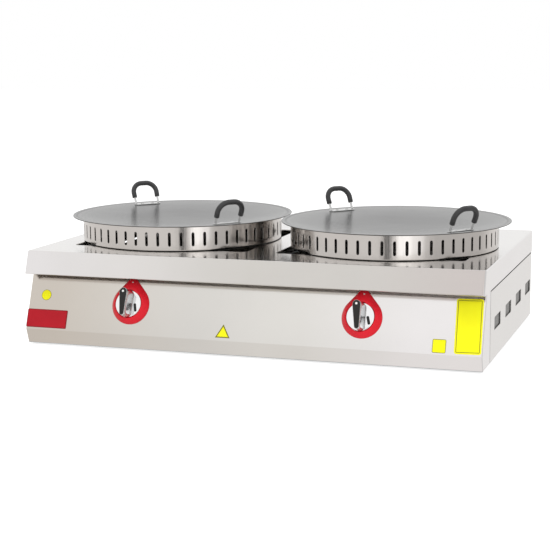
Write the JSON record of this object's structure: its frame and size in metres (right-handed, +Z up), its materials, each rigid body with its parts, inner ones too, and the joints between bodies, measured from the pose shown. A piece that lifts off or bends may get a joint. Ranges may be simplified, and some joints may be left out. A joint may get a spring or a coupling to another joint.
{
  "type": "countertop gas stove",
  "caption": "Countertop gas stove: two shallow lift-off griddle pans with wire handles on slotted collar rings, push-and-turn knobs on raised bezels, vented steel casing, gas inlet at the back.",
  "frame": {"origin": "On the surface the stove stands on, at the middle of its outline seen from above.", "axes": "+X to the right as seen from the front, +Y from the knobs to the back, +Z up."},
  "size_m": [1, 0.6738, 0.3136],
  "materials": {
    "polished_sheet": "semi-polished stainless sheet",
    "mirror_sheet": "bright polished stainless sheet",
    "collar_steel": "bright rolled stainless band",
    "pan_steel": "satin pressed steel",
    "bright_wire": "bright steel wire",
    "handle_rubber": "matt black rubber",
    "foot_rubber": "matt black rubber",
    "chrome_dial": "chromed",
    "black_plastic": "glossy black",
    "red_plastic": "glossy red",
    "red_print": "red plate with a darker edge",
    "yellow_print": "yellow film",
    "galvanised": "galvanised sheet",
    "iron": "matt cast iron",
    "yellow_brass": "machined brass",
    "pipe_steel": "zinc plated",
    "alloy": "plain aluminium"
  },
  "bodies": {
    "casing": {"hob_top": "mirror_sheet", "front_panel": "polished_sheet", "side_panel_left": "polished_sheet", "side_panel_right": "polished_sheet", "rear_panel": "polished_sheet", "base_pan": "galvanised", "hob_stiffener": "galvanised", "rubber_feet": "foot_rubber", "foot_screws": "pipe_steel", "rear_screws": "bright_wire", "gas_rail": "pipe_steel", "rail_brackets": "galvanised", "gas_inlet": "yellow_brass", "inlet_locknut": "yellow_brass", "clamp_screws": "pipe_steel", "badge_plate": "red_print", "round_label": "yellow_print", "triangle_label": "yellow_print", "square_label": "yellow_print", "tall_label": "yellow_print", "valve_body_left": "yellow_brass", "valve_clamp_left": "alloy", "valve_bonnet_left": "yellow_brass", "bezel_left": "red_plastic", "outlet_pipe_left": "alloy", "injector_left": "yellow_brass", "mixing_tube_left": "galvanised", "burner_left": "iron", "burner_stand_left": "galvanised", "spill_tray_left": "galvanised", "valve_body_right": "yellow_brass", "valve_clamp_right": "alloy", "valve_bonnet_right": "yellow_brass", "bezel_right": "red_plastic", "outlet_pipe_right": "alloy", "injector_right": "yellow_brass", "mixing_tube_right": "galvanised", "burner_right": "iron", "burner_stand_right": "galvanised", "spill_tray_right": "galvanised"},
    "valve_plug_left": {"valve_plug_left": "yellow_brass"},
    "knob_left": {"knob_dial_left": "chrome_dial", "knob_insert_left": "black_plastic", "valve_stem_left": "pipe_steel"},
    "ring_left": {"collar_ring_left": "collar_steel"},
    "pan_left": {"pan_left": "pan_steel", "handle_straps_left": "bright_wire", "handle_rivets_left": "bright_wire", "handle_wires_left": "bright_wire", "handle_sleeves_left": "handle_rubber"},
    "valve_plug_right": {"valve_plug_right": "yellow_brass"},
    "knob_right": {"knob_dial_right": "chrome_dial", "knob_insert_right": "black_plastic", "valve_stem_right": "pipe_steel"},
    "ring_right": {"collar_ring_right": "collar_steel"},
    "pan_right": {"pan_right": "pan_steel", "handle_straps_right": "bright_wire", "handle_rivets_right": "bright_wire", "handle_wires_right": "bright_wire", "handle_sleeves_right": "handle_rubber"}
  },
  "joints": [
    {"name": "knob_left_turn", "type": "hinge", "parent": "casing", "child": "valve_plug_left", "pos_m": [-0.2573, -0.28408, 0.09685], "axis": [0, -0.9379, 0.3468], "range_deg": [0, 180]},
    {"name": "knob_left_push", "type": "slide", "parent": "valve_plug_left", "child": "knob_left", "axis": [0, 0.9379, -0.3468], "range_m": [0, 0.003], "stiffness_N_per_m": 900, "springref_m": -0.004},
    {"name": "ring_left_lift", "type": "slide", "parent": "casing", "child": "ring_left", "axis": [0, 0, 1], "range_m": [0, 0.12]},
    {"name": "pan_left_lift", "type": "slide", "parent": "ring_left", "child": "pan_left", "axis": [0, 0, 1], "range_m": [0, 0.15]},
    {"name": "knob_right_turn", "type": "hinge", "parent": "casing", "child": "valve_plug_right", "pos_m": [0.2505, -0.28408, 0.09685], "axis": [0, -0.9379, 0.3468], "range_deg": [0, 180]},
    {"name": "knob_right_push", "type": "slide", "parent": "valve_plug_right", "child": "knob_right", "axis": [0, 0.9379, -0.3468], "range_m": [0, 0.003], "stiffness_N_per_m": 900, "springref_m": -0.004},
    {"name": "ring_right_lift", "type": "slide", "parent": "casing", "child": "ring_right", "axis": [0, 0, 1], "range_m": [0, 0.12]},
    {"name": "pan_right_lift", "type": "slide", "parent": "ring_right", "child": "pan_right", "axis": [0, 0, 1], "range_m": [0, 0.15]}
  ]
}
